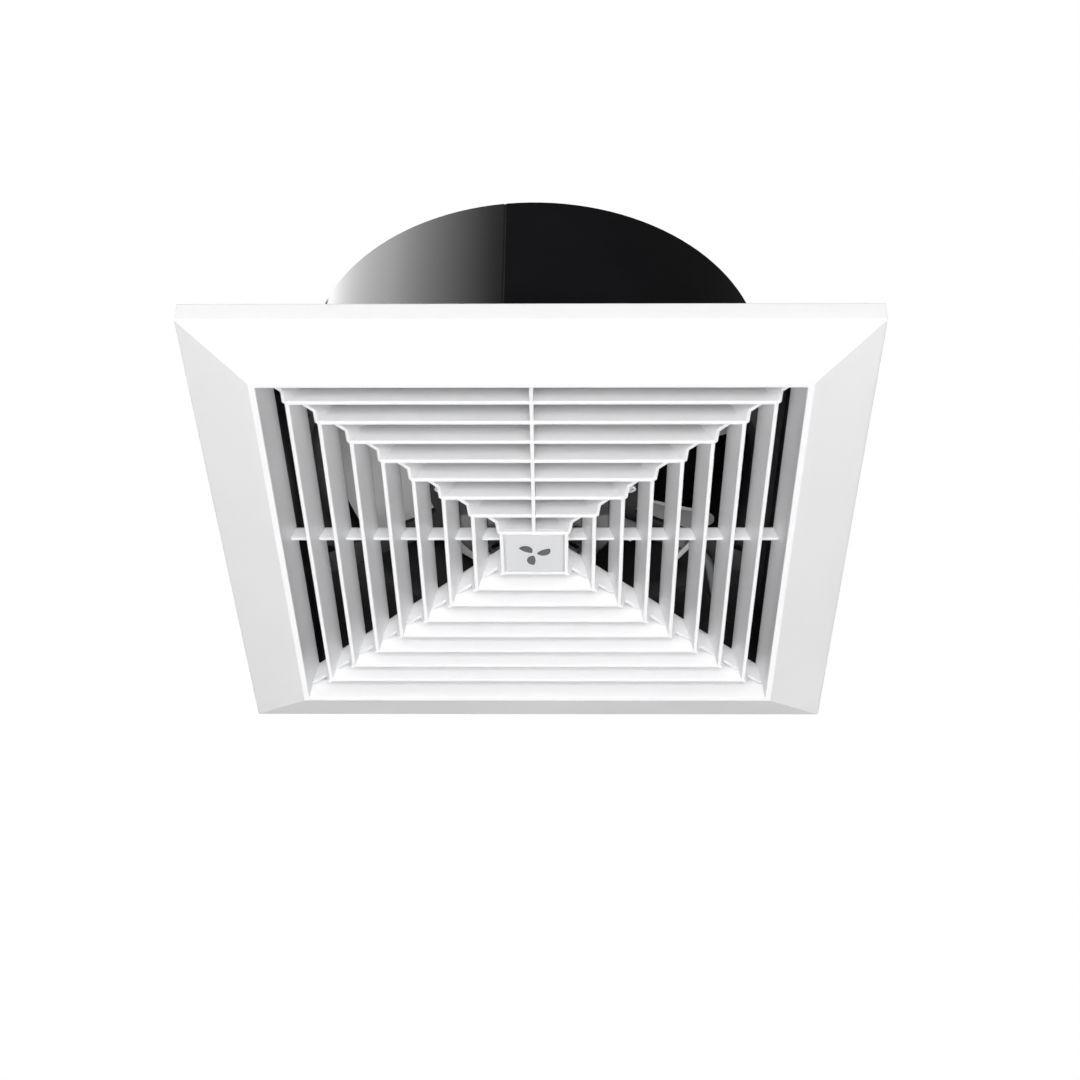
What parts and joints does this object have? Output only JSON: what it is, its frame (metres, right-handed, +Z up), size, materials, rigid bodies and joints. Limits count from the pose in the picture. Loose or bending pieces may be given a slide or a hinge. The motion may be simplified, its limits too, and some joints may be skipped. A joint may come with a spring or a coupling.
{
  "type": "ceiling extractor fan",
  "caption": "Square ceiling extractor fan with a louvred snap-off panel, axial impeller, round black discharge drum and backdraft flaps.",
  "frame": {"origin": "centre of the four fixing holes, in the plane of the ceiling's lower face", "axes": "+Z up into the ceiling along the impeller's axis, +X and +Y along the panel's sides; the grille faces -Z"},
  "size_m": [0.34, 0.34, 0.1377],
  "materials": {
    "panel_white": "satin moulded white",
    "badge_grey": "satin light grey",
    "mark_dark": "matt print",
    "peg_nylon": "natural nylon",
    "base_black": "fine grained",
    "drum_black": "gloss",
    "zinc_screw": "zinc plated",
    "bracket_black": "satin",
    "motor_black": "satin",
    "lamination": "stacked sheet steel",
    "copper": "enamelled wire",
    "rotor_alloy": "die cast",
    "bearing_steel": "ground",
    "shaft_steel": "ground",
    "impeller_white": "satin",
    "flap_black": "satin",
    "rubber_black": "matt",
    "wiring_black": "fine grained",
    "capacitor_black": "potted",
    "terminal_white": "moulded",
    "lead_grey": "matt sheath",
    "tie_white": "nylon"
  },
  "bodies": {
    "housing": {"base_frame": "base_black", "inlet_shroud": "base_black", "drum_casing": "drum_black", "seam_strip": "drum_black", "casing_screws": "zinc_screw", "casing_nuts": "zinc_screw", "motor_bracket": "bracket_black", "motor_grommets": "rubber_black", "motor_mount_screws": "zinc_screw", "motor_mount_nuts": "zinc_screw", "motor_front_bell": "motor_black", "motor_rear_bell": "motor_black", "stator_core": "lamination", "stator_windings": "copper", "motor_through_bolts": "zinc_screw", "front_bearing": "bearing_steel", "rear_bearing": "bearing_steel", "damper_seat": "drum_black", "damper_axle": "shaft_steel", "wiring_box": "wiring_black", "wiring_cover": "wiring_black", "wiring_cover_screws": "zinc_screw", "cable_gland": "wiring_black", "gland_locknut": "wiring_black", "run_capacitor": "capacitor_black", "terminal_block": "terminal_white", "motor_lead": "lead_grey", "lead_ties": "tie_white", "lead_grommet": "rubber_black"},
    "rotor": {"motor_shaft": "shaft_steel", "rotor_core": "rotor_alloy", "impeller": "impeller_white", "drive_pin": "shaft_steel", "impeller_nut": "zinc_screw"},
    "panel": {"panel_frame": "panel_white", "louvre_grille": "panel_white", "badge_plate": "badge_grey", "badge_mark": "mark_dark", "panel_pegs": "peg_nylon"},
    "flap_left": {"damper_flap_left": "flap_black"},
    "flap_right": {"damper_flap_right": "flap_black"}
  },
  "joints": [
    {"name": "impeller_spin", "type": "hinge", "parent": "housing", "child": "rotor", "pos_m": [0, 0, 0.06], "axis": [0, 0, 1], "continuous": true},
    {"name": "panel_pull", "type": "slide", "parent": "housing", "child": "panel", "axis": [0, 0, -1], "range_m": [0, 0.06]},
    {"name": "flap_left_hinge", "type": "hinge", "parent": "housing", "child": "flap_left", "pos_m": [0, 0, 0.106], "axis": [0, 1, 0], "range_deg": [0, 75]},
    {"name": "flap_right_hinge", "type": "hinge", "parent": "housing", "child": "flap_right", "pos_m": [0, 0, 0.106], "axis": [0, -1, 0], "range_deg": [0, 75]}
  ]
}
